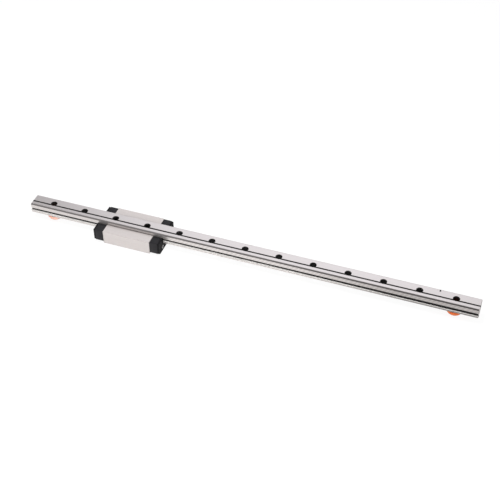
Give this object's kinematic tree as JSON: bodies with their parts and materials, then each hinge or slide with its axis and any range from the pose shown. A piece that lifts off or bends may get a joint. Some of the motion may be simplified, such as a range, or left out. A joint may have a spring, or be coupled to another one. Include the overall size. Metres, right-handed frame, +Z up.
{
  "type": "miniature profile linear guide",
  "caption": "Slim ground steel rail with a row of counterbored mounting holes and a recirculating ball carriage that slides along it between two stopper plugs.",
  "frame": {"origin": "on the floor, under the middle of the rail and of its middle mounting hole", "axes": "+X along the rail, towards its right end with the carriage at the left; +Y across the rail, away from the viewer; +Z up, out of the rail's mounting face"},
  "size_m": [0.2, 0.017, 0.008],
  "materials": {
    "rail_steel": "fine ground, satin",
    "block_steel": "ground, satin",
    "cap_plastic": "moulded, semi-matte",
    "seal_rubber": "matte",
    "ball_steel": "polished",
    "screw_steel": "satin",
    "plug_plastic": "soft moulded plastic"
  },
  "bodies": {
    "rail": {"rail": "rail_steel", "stopper_plug_right": "plug_plastic", "stopper_plug_left": "plug_plastic"},
    "carriage": {"runner_block": "block_steel", "end_cap_right": "cap_plastic", "end_cap_left": "cap_plastic", "end_seal_right": "seal_rubber", "end_seal_left": "seal_rubber", "load_balls_front": "ball_steel", "load_balls_rear": "ball_steel", "cap_screw_right_front": "screw_steel", "cap_screw_right_rear": "screw_steel", "cap_screw_left_front": "screw_steel", "cap_screw_left_rear": "screw_steel"}
  },
  "joints": [
    {"name": "carriage_slide", "type": "slide", "parent": "rail", "child": "carriage", "axis": [1, 0, 0], "range_m": [-0.0192, 0.1225]}
  ]
}
